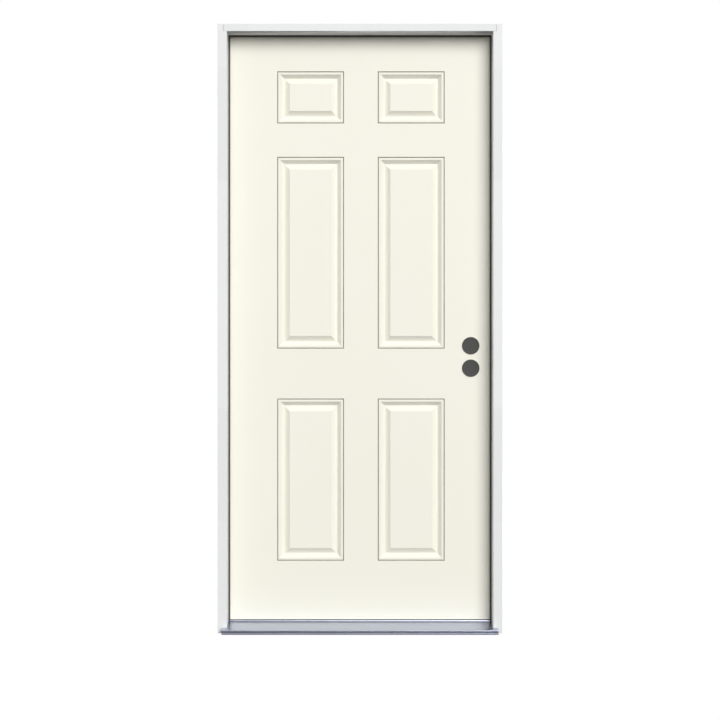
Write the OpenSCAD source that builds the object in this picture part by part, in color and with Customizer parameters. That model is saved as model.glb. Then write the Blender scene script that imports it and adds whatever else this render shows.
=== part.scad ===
// Six-panel embossed steel entrance door, hung in its rabbeted wooden frame on a metal-faced sill.
// The origin is on the floor, at the middle of the frame's width and of the jambs' depth.
// X runs to the right as seen from outside, -Y faces outside, +Y faces the room and +Z is up.
// The leaf is hinged on the left and swings into the room.

/* [Frame] */
// Width over the two side jambs
frame_w = 952.5; // [780:0.5:1200]
// Height from the floor to the top of the head
frame_h = 2040; // [1700:1:2450]
// Depth of the jambs, from the outside to the room
jamb_depth = 116; // [100:0.5:170]
// Thickness of the side jambs beside the leaf
jamb_board = 19.05; // [15:0.05:30]
// Thickness of the head above the leaf
head_board = 13.3; // [11:0.1:30]
// How far the stop stands out from the jamb
stop_h = 11.2; // [10:0.1:20]
// Radius of the eased front edges of the stops
ease_r = 1.5; // [0.5:0.5:5]
// Width of the slot that holds the weatherstrip
kerf_w = 3; // [2:0.1:4]
// Depth of the slot that holds the weatherstrip
kerf_d = 11; // [8:0.5:20]

/* [Leaf] */
// Thickness of the leaf over both skins
leaf_t = 44.45; // [36:0.05:56]
// Gap between the leaf and the jambs, at the sides and the top
leaf_gap = 3.2; // [2.5:0.1:5]
// How far the leaf's room face lies behind the jambs' room edge
leaf_inset = 0.8; // [0:0.1:10]
// Thickness of the steel skins
skin_t = 0.7; // [0.5:0.1:1.5]
// Width of the skins' flanges along the leaf's two long edges
skin_flange = 9.5; // [6:0.5:12]
// Width of the wooden stiles inside the leaf
stile_core_w = 30; // [27:0.5:60]
// Height of the rails at the top and bottom inside the leaf
rail_core_h = 38; // [25:0.5:70]

/* [Panels] */
// Face width from the leaf's edge to a panel
stile_w = 169.9; // [120:0.1:190]
// Face width between the two columns of panels
mullion_w = 114.6; // [60:0.1:150]
// How far the group of panels lies towards the lock side
panel_shift = 3; // [0:0.5:10]
// Height of the bottom rail's face
bottom_rail_h = 198.5; // [120:0.1:260]
// Height from the floor to the middle of the lock rail's face
lock_rail_z = 868.7; // [700:0.1:1000]
// Height of the lock rail's face
lock_rail_h = 169.4; // [120:0.1:220]
// Height of the rail's face under the top panels
frieze_rail_h = 113.3; // [80:0.1:150]
// Height of the two top panels
top_panel_h = 176.9; // [120:0.1:220]
// Height of the top rail's face
top_rail_h = 128.9; // [90:0.1:180]

/* [Panel moulding] */
// Width of the fine quirk round a panel
quirk_w = 3.4; // [1.5:0.1:4]
// Depth of the fine quirk round a panel
quirk_d = 3.2; // [1:0.1:4]
// Width of the flat bead inside the quirk
bead_w = 7.3; // [4:0.1:12]
// Depth of the bead below the leaf's face
bead_d = 0.4; // [0.1:0.1:1]
// Width of the slope from the bead to the valley
slope_w = 12; // [9:0.1:18]
// Depth of the valley below the leaf's face
valley_d = 11.6; // [5:0.1:12]
// Width of the valley's floor
valley_w = 1.5; // [1:0.1:5]
// Width of the bevel from the valley to the raised field
bevel_w = 18.6; // [14:0.1:28]
// Depth of the raised field below the leaf's face
field_d = 1; // [0.5:0.1:3]

/* [Lock] */
// Distance from the leaf's edge to the middle of the lock bores
backset = 78.2; // [60:0.1:95]
// Radius of the two lock bores
bore_r = 27; // [22:0.5:30]
// Height of the lower lock bore's middle above the floor
lower_bore_z = 887.3; // [850:0.1:1100]
// Distance between the middles of the two lock bores
bore_spacing = 76.2; // [74:0.1:160]
// Radius of the bolt bores in the leaf's edge and in the strike jamb
bolt_bore_r = 12.7; // [10:0.1:14]
// Radius of the plugs' flanges on the outer face
plug_flange_r = 29.5; // [28:0.5:34]
// Thickness of the plugs' flanges
plug_flange_t = 2.2; // [1:0.1:4]
// How deep the plugs' sleeves reach into the bores
plug_depth = 9; // [6:0.5:9]
// Wall of the plugs' sleeves
plug_wall = 1.6; // [1:0.1:3]
// Extra radius of the bore's mouth, where a plug sits
plug_seat = 0.5; // [0.3:0.1:1]
// Width of the lock block inside the leaf
lock_block_w = 104; // [95:1:120]
// Height of the lock block inside the leaf
lock_block_h = 250; // [180:1:400]

/* [Hinges] */
// Height of a hinge
hinge_h = 101.6; // [80:0.1:127]
// Thickness of a hinge's two plates
hinge_t = 2.4; // [2:0.1:3.4]
// Width of a plate, from the pin's axis to its far edge
plate_w = 40; // [36:0.5:42]
// Radius of a plate's far corners
plate_corner_r = 15.9; // [6:0.1:16]
// Radius of the hinge's barrel
barrel_r = 6.3; // [5.5:0.1:7.5]
// Radius of the hinge pin
pin_r = 3.95; // [3:0.05:4.4]
// Height from the leaf's top to the middle of the top hinge
top_hinge_drop = 229; // [150:1:300]
// Height from the leaf's bottom to the middle of the bottom hinge
bottom_hinge_rise = 330; // [200:1:400]
// Gap between the hinge's barrel and the jambs' room edge
barrel_gap = 0.4; // [0.3:0.1:4]

/* [Sill] */
// How far the sill's nose stands in front of the jambs
nose_out = 30; // [15:0.5:45]
// How far the nose's ends lie inside the frame's sides
horn_inset = 15.25; // [10:0.25:30]
// Height of the deck's line at the nose
deck_z = 15.3; // [12:0.1:25]
// Rise of the deck for each millimetre of its depth
deck_slope = 0.137; // [0.05:0.001:0.2]
// Thickness of the metal cover
cover_t = 1.8; // [1.2:0.1:3]
// Gap under the leaf, measured above the deck at the leaf's outer face
under_gap = 6; // [5.5:0.1:12]
// How far the threshold cap's top lies below the leaf's bottom
cap_drop = 5; // [4:0.1:5.5]

/* [Seals] */
// Thickness of the weatherstrip between the stop and the closed leaf, with its clearance
seal_space = 8; // [6:0.1:12]
// How far the weatherstrip's nose stands out past the stop
seal_proud = 6; // [2:0.1:8]
// Thickness of the weatherstrip's stem in its slot
stem_w = 2.2; // [1.2:0.1:2.6]
// Thickness of the corner pads
pad_t = 1.2; // [0.8:0.1:1.3]
// Width of the corner pads
pad_w = 30; // [20:1:36]
// Height of the corner pads
pad_h = 50; // [30:1:80]

/* [Clearances] */
// Radial clearance of the hinge pins in their knuckles
pin_fit = 0.05; // [0.02:0.01:0.1]
// Clearance between parts that pass each other as the leaf swings
swing_fit = 0.3; // [0.3:0.05:0.6]
// Clearance round pieces let into or butted against another
joint_fit = 0.2; // [0.1:0.05:0.4]
// Radial clearance of the plugs and of the screws in their holes
hole_fit = 0.1; // [0.05:0.01:0.15]

/* [Hidden] */
HINGES = ["bottom", "middle", "top"];

$fn = 96;
over = 1;                // how far a cutting shape runs past the face it cuts
round_fn = 48;

// Frame planes
outer_x = frame_w / 2;
rabbet_x = outer_x - jamb_board;
stop_x = rabbet_x - stop_h;
rabbet_z = frame_h - head_board;
stop_z = rabbet_z - stop_h;
front_y = -jamb_depth / 2;
back_y = jamb_depth / 2;

// Leaf planes
leaf_x = rabbet_x - leaf_gap;
leaf_y1 = back_y - leaf_inset;
leaf_y0 = leaf_y1 - leaf_t;
leaf_mid_y = (leaf_y0 + leaf_y1) / 2;
shoulder_y = leaf_y0 - seal_space;
nose_y = front_y - nose_out;
function deck_at(y) = deck_z + deck_slope * (y - nose_y);
leaf_z0 = deck_at(leaf_y0) + under_gap;
leaf_z1 = rabbet_z - leaf_gap;
cap_z = leaf_z0 - cap_drop;

// Panels: lower left corner and size of each, in the leaf's face
panel_w = (2 * leaf_x - 2 * stile_w - mullion_w) / 2;
row_z = [
    leaf_z0 + bottom_rail_h,
    lock_rail_z + lock_rail_h / 2,
    leaf_z1 - top_rail_h - top_panel_h
];
row_h = [
    lock_rail_z - lock_rail_h / 2 - row_z[0],
    row_z[2] - frieze_rail_h - row_z[1],
    top_panel_h
];
column_x = [
    panel_shift - mullion_w / 2 - panel_w,
    panel_shift + mullion_w / 2
];

// Lock
bore_x = leaf_x - backset;
bore_zs = [lower_bore_z, lower_bore_z + bore_spacing];
seat_r = bore_r + plug_seat;

// Hinges
pin_x = -(leaf_x + leaf_gap / 2);
pin_y = back_y + barrel_r + barrel_gap;
knuckles = 5;
knuckle_h = hinge_h / knuckles;
hinge_zs = [
    leaf_z0 + bottom_hinge_rise,
    (leaf_z0 + bottom_hinge_rise + leaf_z1 - top_hinge_drop) / 2,
    leaf_z1 - top_hinge_drop
];

// Screws: head and shank radii, and the head's height
head_r = 4.5;
shank_r = 2.4;
screw_point = 5;
hinge_screws = 4;
hinge_screw_pitch = 24;
outer_screw_in = 16;     // from the plate's far edge to its first and last screws
inner_screw_in = 9;      // and to the two between them
leaf_screw_l = 25;
frame_screw_l = jamb_board - 3;
joint_screw_l = 60;
joint_screw_in = jamb_depth / 4;

// Colours
PRIMER = "#e8e8e8";
CREAM = "#f2f0e3";
METAL = "#b6bcc6";
RUBBER = "#4b443d";
STEEL = "#a8a9aa";
PINE = "#d9bd8c";
FOAM = "#eedc9a";
CAP = "#8a7358";
PLUG = "#4d4d4b";

// ---------------------------------------------------------------- frame

// Carries an outline drawn in (Y, Z) along X, from x0 to x1
module along_x(x0, x1) {
    translate([x0, 0, 0]) rotate([90, 0, 90]) linear_extrude(x1 - x0) children();
}

// Section of a jamb. Its first axis runs from the jamb's back towards the opening, and its second
// axis is the frame's depth: a board, a stop with an eased front edge, and the weatherstrip's slot.
module jamb_section(board) {
    difference() {
        union() {
            translate([0, front_y]) square([board, jamb_depth]);
            translate([0, front_y + ease_r]) square([board + stop_h, shoulder_y - front_y - ease_r]);
            translate([0, front_y]) square([board + stop_h - ease_r, ease_r]);
            translate([board + stop_h - ease_r, front_y + ease_r]) circle(r = ease_r, $fn = round_fn);
        }
        translate([board + kerf_gap, shoulder_y - kerf_d]) square([kerf_w, kerf_d + over]);
    }
}
kerf_gap = 1.5;          // wood left between the slot and the rabbet's face

// A side jamb on the left. It stands on the floor, and its stop ends under the head's.
module side_jamb() {
    difference() {
        translate([-outer_x, 0, 0]) linear_extrude(frame_h) jamb_section(jamb_board);
        translate([-rabbet_x, front_y - over, stop_z])
            cube([stop_h + over, jamb_depth + 2 * over, head_board + stop_h + over]);
        frame_screw_holes();
    }
}

module frame_screw_holes() {
    sill_screw_set(hole_fit);
    head_screw_set(hole_fit);
}

module hinge_jamb() {
    color(PRIMER) difference() {
        side_jamb();
        for (z = hinge_zs) {
            hinge_mortise(-rabbet_x - hinge_t, z);
            hinge_screw_group(-rabbet_x, z, -1, frame_screw_l, hole_fit);
        }
    }
}

module strike_jamb() {
    color(PRIMER) difference() {
        mirror([1, 0, 0]) side_jamb();
        for (z = bore_zs)
            translate([rabbet_x - over, leaf_mid_y, z]) rotate([0, 90, 0])
                cylinder(r = bolt_bore_r, h = jamb_board + 2 * over);
    }
}

module head_jamb() {
    color(PRIMER) difference() {
        along_x(-rabbet_x, rabbet_x)
            translate([0, frame_h]) rotate(-90) jamb_section(head_board);
        head_screw_set(hole_fit);
    }
}

// ---------------------------------------------------------------- sill

// Plan of the sill: between the stops in front, between the rabbets behind, and two horns in front
module sill_plan(fit) {
    for (side = [0, 1]) mirror([side, 0, 0]) linear_extrude(cap_z + over) polygon([
        [-over, nose_y - over], [outer_x - horn_inset, nose_y - over],
        [outer_x - horn_inset, front_y - fit], [stop_x - fit, front_y - fit],
        [stop_x - fit, shoulder_y + fit], [rabbet_x - fit, shoulder_y + fit],
        [rabbet_x - fit, back_y], [-over, back_y]
    ]);
}

lip_y = leaf_y0 - 1;     // front of the upright leg at the cover's back
lip_h = 2.2;             // how far the leg stands above the deck
lip_ease = 1.2;          // how far its top leans back from its foot
lip_z = deck_at(lip_y) + lip_h;
leg_h = 9;               // how far it reaches below the deck
leg_z = deck_at(lip_y) - leg_h;
nose_foot_z = 0.6;
nose_r = 3.4;            // radius between the nose and the deck
drip_out = 1.8;          // how far the nose leans in above its lower half
drip_z = 6;

// Outline of the cover's outside, from the nose's foot over the deck to the upright leg's foot
function cover_outline(t) = concat(
    [[nose_y + t, nose_foot_z], [nose_y + t, drip_z - drip_out / 2],
     [nose_y + drip_out + t, drip_z + drip_out / 2]],
    [for (a = [0:22.5:90]) [
        nose_y + t + (nose_r - t / 2) * (1 - cos(a)),
        deck_at(nose_y + nose_r) - t - (nose_r - t / 2) * (1 - sin(a))
    ]],
    [[lip_y + t, deck_at(lip_y + t) - t]]
);

module sill_cover() {
    inner = cover_outline(cover_t);
    color(METAL) intersection() {
        along_x(-outer_x, outer_x) polygon(concat(
            cover_outline(0),
            [[lip_y, deck_at(lip_y)], [lip_y + lip_ease, lip_z], [lip_y + cover_t, lip_z],
             [lip_y + cover_t, leg_z], [lip_y, leg_z]],
            [for (i = [len(inner) - 1:-1:0]) [min(inner[i][0], lip_y), inner[i][1]]]
        ));
        sill_plan(joint_fit);
    }
}

module sill_substrate() {
    inner = cover_outline(cover_t + joint_fit);
    color(PINE) difference() {
        intersection() {
            along_x(-outer_x + joint_fit, outer_x - joint_fit) polygon(concat(
                [[inner[0][0] + drip_out, 0]],
                [for (i = [2:len(inner) - 2]) inner[i]],
                [[lip_y - joint_fit, deck_at(lip_y - joint_fit) - cover_t - joint_fit],
                 [lip_y - joint_fit, leg_z - joint_fit], [lip_y + cover_t + joint_fit, leg_z - joint_fit],
                 [lip_y + cover_t + joint_fit, cap_foot_z], [back_y, cap_foot_z], [back_y, 0]]
            ));
            sill_plan(joint_fit);
        }
        sill_screw_set(hole_fit);
    }
}
cap_foot_z = leg_z + 2;

module threshold_cap() {
    cap_y = lip_y + cover_t + joint_fit;
    round_r = 3;
    back_h = 4;
    back_slope_w = 9;
    color(CAP) intersection() {
        along_x(-outer_x, outer_x) union() {
            polygon([
                [cap_y, cap_foot_z], [back_y, cap_foot_z], [back_y, cap_foot_z + back_h],
                [back_y - back_slope_w, cap_z], [cap_y + round_r, cap_z], [cap_y, cap_z - round_r]
            ]);
            intersection() {
                translate([cap_y + round_r, cap_z - round_r]) circle(r = round_r, $fn = round_fn);
                translate([cap_y, cap_z - round_r]) square(round_r);
            }
        }
        sill_plan(joint_fit);
    }
}

// ---------------------------------------------------------------- screws

// A countersunk wood screw along +Z, its head's face at the origin
module screw(length, fit) {
    rotate_extrude($fn = round_fn) polygon([
        [0, fit > 0 ? -over : 0], [head_r + fit, fit > 0 ? -over : 0], [head_r + fit, 0],
        [shank_r + fit, hinge_t], [shank_r + fit, length - screw_point], [0, length + fit]
    ]);
}

// Screws through both side jambs, into the sill's ends or the head's ends
module side_screws(z, fit) {
    for (side = [0, 1]) mirror([side, 0, 0]) for (y = [-joint_screw_in, joint_screw_in])
        translate([-outer_x, y, z]) rotate([0, 90, 0]) screw(joint_screw_l, fit);
}

module sill_screw_set(fit) { side_screws(deck_z / 2, fit); }
module head_screw_set(fit) { side_screws(frame_h - head_board / 2, fit); }
module sill_screws() { color(STEEL) sill_screw_set(0); }
module head_joint_screws() { color(STEEL) head_screw_set(0); }

// The screws of one plate of one hinge. side is 1 into the leaf and -1 into the jamb.
module hinge_screw_group(x, z, side, length, fit) {
    for (i = [0:hinge_screws - 1]) {
        outer = i == 0 || i == hinge_screws - 1;
        y = pin_y - plate_w + (outer ? outer_screw_in : inner_screw_in);
        translate([x, y, z + (i - (hinge_screws - 1) / 2) * hinge_screw_pitch])
            rotate([0, 90 * side, 0]) screw(length, fit);
    }
}

module frame_hinge_screws() {
    color(STEEL) for (z = hinge_zs) hinge_screw_group(-rabbet_x, z, -1, frame_screw_l, 0);
}

module door_hinge_screws() {
    color(STEEL) for (z = hinge_zs) hinge_screw_group(-leaf_x, z, 1, leaf_screw_l, 0);
}

// ---------------------------------------------------------------- seals

stem_end_gap = 1.5;      // empty depth of the slot behind the weatherstrip's stem

// Section of the weatherstrip at a jamb, in the jamb section's own axes
module seal_section(board) {
    seal_t = seal_space - swing_fit;
    reach = stop_h + seal_proud - seal_t / 2;
    translate([board, shoulder_y]) square([reach, seal_t]);
    translate([board + reach, shoulder_y + seal_t / 2]) circle(d = seal_t, $fn = round_fn);
    translate([board + kerf_gap + (kerf_w - stem_w) / 2, shoulder_y - kerf_d + stem_end_gap])
        square([stem_w, kerf_d]);
}

// The side strips stand on the sill's upright leg and stop under the head's strip
module side_seal() {
    foot_z = lip_z + joint_fit;
    color(RUBBER) translate([-outer_x, 0, foot_z])
        linear_extrude(stop_z - seal_proud - joint_fit - foot_z) seal_section(jamb_board);
}

module hinge_side_weatherstrip() { side_seal(); }
module strike_side_weatherstrip() { mirror([1, 0, 0]) side_seal(); }

module head_weatherstrip() {
    color(RUBBER) along_x(-rabbet_x, rabbet_x)
        translate([0, frame_h]) rotate(-90) seal_section(head_board);
}

// A pad on the rabbet's face, in the corner above the threshold
module corner_pad() {
    set_back = 4;
    lift = 2;
    color(RUBBER) translate([-rabbet_x, leaf_y0 + set_back, cap_z + lift]) cube([pad_t, pad_w, pad_h]);
}

module hinge_corner_pad() { corner_pad(); }
module strike_corner_pad() { mirror([1, 0, 0]) corner_pad(); }

// ---------------------------------------------------------------- leaf

slope_steps = 4;
slope_power = 1.05;      // the slope is hollow, and steepest at the bead
bevel_steps = 4;
bevel_power = 1.5;       // the bevel is hollow, and steepest at the field
slope_u = quirk_w + bead_w;
valley_u = slope_u + slope_w;
bevel_u = valley_u + valley_w;

// Depth of the pressing against the distance from the panel's edge: into the quirk and out of it again
quirk_side = [[0, 0], [quirk_w / 2, quirk_d]];
quirk_back = [[quirk_w / 2, quirk_d], [quirk_w, bead_d]];

// From the quirk over the bead and down the slope to the valley
pocket_side = concat(
    [[quirk_w, bead_d]],
    [for (i = [0:slope_steps]) [
        slope_u + slope_w * i / slope_steps,
        valley_d - (valley_d - bead_d) * pow(1 - i / slope_steps, slope_power)
    ]]
);

// Up the hollow bevel to the raised field
field_side = [for (i = [0:bevel_steps]) [
    bevel_u + bevel_w * i / bevel_steps,
    valley_d - (valley_d - field_d) * pow(i / bevel_steps, bevel_power)
]];

// A closed outline of a pressing's width: across, then depth. start is where its sides begin.
function across(side, size, start) = concat(
    [[side[0][0], start]], side,
    [for (i = [len(side) - 1:-1:0]) [size - side[i][0], side[i][1]]], [[size - side[0][0], start]]
);

// What two like outlines, one carried up and one carried along, have in common: its corners are mitred
module mitred(side, w, h, start) {
    intersection() {
        linear_extrude(h) polygon(across(side, w, start));
        rotate([90, 0, 90]) linear_extrude(w)
            polygon([for (p = across(side, h, start)) [p[1], p[0]]]);
    }
}

// The space pressed into one face for one panel
module pressing(w, h) {
    difference() {
        mitred(quirk_side, w, h, -over);
        mitred(quirk_back, w, h, quirk_d + over);
    }
    difference() {
        mitred(pocket_side, w, h, -over);
        mitred(field_side, w, h, valley_d + over);
    }
}

// All six, pressed in from the leaf's outer face, which is moved in by depth
module pressings(depth) {
    for (x = column_x) for (row = [0:2])
        translate([x, leaf_y0 + depth, row_z[row]]) pressing(panel_w, row_h[row]);
}

// Turns what is made at the outer face over to the room face
module at_room_face() {
    translate([0, leaf_y0 + leaf_y1, 0]) mirror([0, 1, 0]) children();
}

// One skin at the outer face, with its flanges turned over the leaf's long edges
module skin() {
    difference() {
        union() {
            translate([-leaf_x, leaf_y0, leaf_z0]) cube([2 * leaf_x, skin_t, leaf_z1 - leaf_z0]);
            for (side = [0, 1]) mirror([side, 0, 0])
                translate([-leaf_x, leaf_y0, leaf_z0]) cube([skin_t, skin_flange, leaf_z1 - leaf_z0]);
            intersection() {
                pressings(skin_t);
                translate([-leaf_x, leaf_y0, leaf_z0]) cube([2 * leaf_x, leaf_t / 2, leaf_z1 - leaf_z0]);
            }
        }
        pressings(0);
    }
}

module lock_bores(r, y0, y1) {
    for (z = bore_zs) translate([bore_x, y0, z]) rotate([-90, 0, 0]) cylinder(r = r, h = y1 - y0);
}

module exterior_skin() {
    color(CREAM) difference() {
        skin();
        lock_bores(seat_r, leaf_y0 - over, leaf_mid_y);
    }
}

module interior_skin() {
    color(CREAM) difference() {
        at_room_face() skin();
        lock_bores(bore_r, leaf_mid_y, leaf_y1 + over);
        for (z = hinge_zs) hinge_mortise(-leaf_x, z);
    }
}

// A stile on the left: a plain bar between the skins, stepped in under their flanges
module stile() {
    translate([-leaf_x, 0, leaf_z0]) linear_extrude(leaf_z1 - leaf_z0) difference() {
        translate([0, leaf_y0 + skin_t]) square([stile_core_w, leaf_t - 2 * skin_t]);
        for (y = [leaf_y0, leaf_y1 - skin_flange])
            translate([-over, y]) square([skin_t + over, skin_flange]);
    }
}

module hinge_stile() {
    color(PINE) difference() {
        stile();
        for (z = hinge_zs) {
            hinge_mortise(-leaf_x, z);
            hinge_screw_group(-leaf_x, z, 1, leaf_screw_l, hole_fit);
        }
    }
}

module bolt_bores() {
    for (z = bore_zs) translate([bore_x, leaf_mid_y, z]) rotate([0, 90, 0])
        cylinder(r = bolt_bore_r, h = backset + over);
}

module lock_stile() {
    color(PINE) difference() {
        mirror([1, 0, 0]) stile();
        bolt_bores();
    }
}

block_z = lower_bore_z + bore_spacing / 2 - lock_block_h / 2;
module block_shape(fit) {
    translate([leaf_x - stile_core_w - joint_fit - lock_block_w - fit, leaf_y0 + skin_t, block_z - fit])
        cube([lock_block_w + 2 * fit, leaf_t - 2 * skin_t, lock_block_h + 2 * fit]);
}

module lock_block() {
    color(PINE) difference() {
        block_shape(0);
        lock_bores(bore_r, leaf_y0, leaf_y1);
        lock_bores(seat_r, leaf_y0, leaf_y0 + plug_depth + joint_fit);
        bolt_bores();
    }
}

module rail(z) {
    rail_x = leaf_x - stile_core_w - joint_fit;
    color(PINE) translate([-rail_x, leaf_y0 + skin_t, z])
        cube([2 * rail_x, leaf_t - 2 * skin_t, rail_core_h]);
}

module top_rail() { rail(leaf_z1 - rail_core_h); }
module bottom_rail() { rail(leaf_z0); }

// The foam fills the leaf between its stiles, rails and pressed skins
module foam_core() {
    core_x = leaf_x - stile_core_w - joint_fit;
    core_z = leaf_z0 + rail_core_h + joint_fit;
    color(FOAM) difference() {
        translate([-core_x, leaf_y0 + skin_t, core_z])
            cube([2 * core_x, leaf_t - 2 * skin_t, leaf_z1 - rail_core_h - joint_fit - core_z]);
        pressings(skin_t);
        at_room_face() pressings(skin_t);
        block_shape(joint_fit);
    }
}

// A strip under the leaf with three fins that brush the threshold cap
module bottom_sweep() {
    base_t = 2;
    fin_t = 1.6;
    edge_in = 3;
    sweep_w = leaf_t - 2 * edge_in;
    color(RUBBER) along_x(-leaf_x + edge_in, leaf_x - edge_in) {
        translate([leaf_y0 + edge_in, leaf_z0 - base_t]) square([sweep_w, base_t]);
        for (i = [0:2])
            translate([leaf_y0 + edge_in + i * (sweep_w - fin_t) / 2, cap_z + swing_fit])
                square([fin_t, cap_drop - swing_fit]);
    }
}

// A moulded cap: a flange on the outer face and a hollow sleeve in the bore
module bore_plug(z) {
    edge = 0.8;
    sleeve_r = seat_r - hole_fit;
    color(PLUG) translate([bore_x, leaf_y0, z]) rotate([-90, 0, 0]) rotate_extrude() polygon([
        [0, -plug_flange_t], [plug_flange_r - edge, -plug_flange_t], [plug_flange_r, -plug_flange_t + edge],
        [plug_flange_r, 0], [sleeve_r, 0], [sleeve_r, plug_depth],
        [sleeve_r - plug_wall, plug_depth], [sleeve_r - plug_wall, 0], [0, 0]
    ]);
}

module upper_bore_plug() { bore_plug(bore_zs[1]); }
module lower_bore_plug() { bore_plug(bore_zs[0]); }

// ---------------------------------------------------------------- hinges

// Outline of a plate: across from the pin's axis, then height from its middle
module plate_outline(fit) {
    w = plate_w + fit;
    h = hinge_h + 2 * fit;
    r = plate_corner_r;
    translate([0, -h / 2]) square([w - r, h]);
    translate([0, -h / 2 + r]) square([w, h - 2 * r]);
    for (side = [-1, 1]) translate([w - r, side * (h / 2 - r)]) circle(r = r, $fn = round_fn);
}

// A plate's solid, its back at x and its middle at z
module plate(x, z, fit) {
    translate([x, pin_y, z]) rotate([90, 0, 90]) linear_extrude(hinge_t) mirror([1, 0]) plate_outline(fit);
}

module hinge_mortise(x, z) {
    plate(x, z, joint_fit);
}

// The heights of a knuckle's two ends above the hinge's foot. Only the outer ends have no gap.
function knuckle_foot(k) = k * knuckle_h + (k == 0 ? 0 : swing_fit / 2);
function knuckle_top(k) = (k + 1) * knuckle_h - (k == knuckles - 1 ? 0 : swing_fit / 2);

// One half of a hinge: a plate with every second knuckle, from first on, bored for the pin
module hinge_half(x, z, first, side, length) {
    axis_z = z - hinge_h / 2;
    color(STEEL) difference() {
        union() {
            difference() {
                plate(x, z, 0);
                for (k = [1 - first:2:knuckles - 1])
                    translate([pin_x, pin_y, axis_z + k * knuckle_h - swing_fit / 2])
                        cylinder(r = barrel_r + swing_fit, h = knuckle_h + swing_fit);
            }
            for (k = [first:2:knuckles - 1])
                translate([pin_x, pin_y, axis_z + knuckle_foot(k)])
                    cylinder(r = barrel_r, h = knuckle_top(k) - knuckle_foot(k));
        }
        translate([pin_x, pin_y, axis_z - over]) cylinder(r = pin_r + pin_fit, h = hinge_h + 2 * over);
        hinge_screw_group(side > 0 ? x : x + hinge_t, z, side, length, hole_fit);
    }
}

module frame_hinge_leaf(i) { hinge_half(-rabbet_x - hinge_t, hinge_zs[i], 0, -1, frame_screw_l); }
module door_hinge_leaf(i) { hinge_half(-leaf_x, hinge_zs[i], 1, 1, leaf_screw_l); }

// A pin with a button head, resting on the top knuckle
module hinge_pin(i) {
    head_t = 3;
    edge = 1;
    top = hinge_h / 2;
    color(STEEL) translate([pin_x, pin_y, hinge_zs[i]]) rotate_extrude() polygon([
        [0, -top], [pin_r - edge, -top], [pin_r, -top + edge], [pin_r, top],
        [barrel_r, top], [barrel_r, top + head_t - edge], [barrel_r - edge, top + head_t], [0, top + head_t]
    ]);
}

hinge_jamb();
strike_jamb();
head_jamb();
sill_substrate();
sill_cover();
threshold_cap();
sill_screws();
head_joint_screws();
hinge_side_weatherstrip();
strike_side_weatherstrip();
head_weatherstrip();
hinge_corner_pad();
strike_corner_pad();
hinge_stile();
lock_stile();
lock_block();
top_rail();
bottom_rail();
foam_core();
exterior_skin();
interior_skin();
bottom_sweep();
upper_bore_plug();
lower_bore_plug();
for (i = [0:2]) {
    frame_hinge_leaf(i);
    door_hinge_leaf(i);
    hinge_pin(i);
}
frame_hinge_screws();
door_hinge_screws();
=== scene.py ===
# Six-panel embossed steel entrance door, hung in its primed wooden frame on an aluminium-faced sill.
# Metres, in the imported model's frame: X to the right as seen from outside, +Y into the room, +Z up.
import math
import bpy
from mathutils import Matrix, Vector


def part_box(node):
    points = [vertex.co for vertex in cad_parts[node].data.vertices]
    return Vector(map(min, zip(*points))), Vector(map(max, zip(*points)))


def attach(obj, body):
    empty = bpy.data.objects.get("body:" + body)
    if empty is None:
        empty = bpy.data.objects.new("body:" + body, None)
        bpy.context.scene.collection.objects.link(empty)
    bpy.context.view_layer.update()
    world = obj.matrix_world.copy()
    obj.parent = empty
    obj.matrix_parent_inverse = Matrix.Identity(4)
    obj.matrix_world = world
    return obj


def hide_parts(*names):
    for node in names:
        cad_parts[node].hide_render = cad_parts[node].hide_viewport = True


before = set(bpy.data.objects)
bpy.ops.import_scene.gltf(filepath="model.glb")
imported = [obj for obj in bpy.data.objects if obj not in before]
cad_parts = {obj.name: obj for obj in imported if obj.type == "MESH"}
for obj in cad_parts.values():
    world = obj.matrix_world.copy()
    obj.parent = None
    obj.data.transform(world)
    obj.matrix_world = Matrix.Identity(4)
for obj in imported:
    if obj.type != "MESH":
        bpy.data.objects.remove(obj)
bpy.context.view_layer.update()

# ------------------------------------------------------------------ side jambs and head
# Boards of finger-jointed pine. Board and stop come off the moulder as one rabbeted piece, which is
# dipped in white primer. The head is butted between the legs and screwed through them.

MM = 0.001


def srgb(code):
    """A hex colour as the linear values that a shader takes."""
    channels = [int(code[i:i + 2], 16) / 255 for i in (1, 3, 5)]
    linear = [c / 12.92 if c <= 0.04045 else ((c + 0.055) / 1.055) ** 2.4 for c in channels]
    return (*linear, 1)


def start_finish(name, colour, roughness, metallic=0.0, ior=1.5):
    """A new material with its shader's plain values set; returns it and the shader."""
    finish = bpy.data.materials.new(name)
    finish.use_nodes = True
    shader = finish.node_tree.nodes["Principled BSDF"]
    shader.inputs["Base Color"].default_value = srgb(colour)
    shader.inputs["Roughness"].default_value = roughness
    shader.inputs["Metallic"].default_value = metallic
    shader.inputs["IOR"].default_value = ior
    return finish, shader


def add_node(finish, kind, inputs, **settings):
    """Adds a node with its settings. Each input is given a value, or the output to link to it."""
    tree = finish.node_tree
    node = tree.nodes.new("ShaderNode" + kind)
    for name, value in settings.items():
        setattr(node, name, value)
    for name, value in inputs.items():
        if isinstance(value, bpy.types.NodeSocket):
            tree.links.new(value, node.inputs[name])
        else:
            node.inputs[name].default_value = value
    return node


def feed(finish, shader, **outputs):
    """Links outputs to the shader's sockets, whose names are written with _ for a space."""
    for name, output in outputs.items():
        finish.node_tree.links.new(output, shader.inputs[name.replace("_", " ")])


def select_only(piece):
    bpy.ops.object.select_all(action="DESELECT")
    piece.select_set(True)
    bpy.context.view_layer.objects.active = piece


def apply_modifier(piece, kind, **settings):
    select_only(piece)
    modifier = piece.modifiers.new(kind.lower(), kind)
    for name, value in settings.items():
        setattr(modifier, name, value)
    bpy.ops.object.modifier_apply(modifier=modifier.name)


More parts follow.
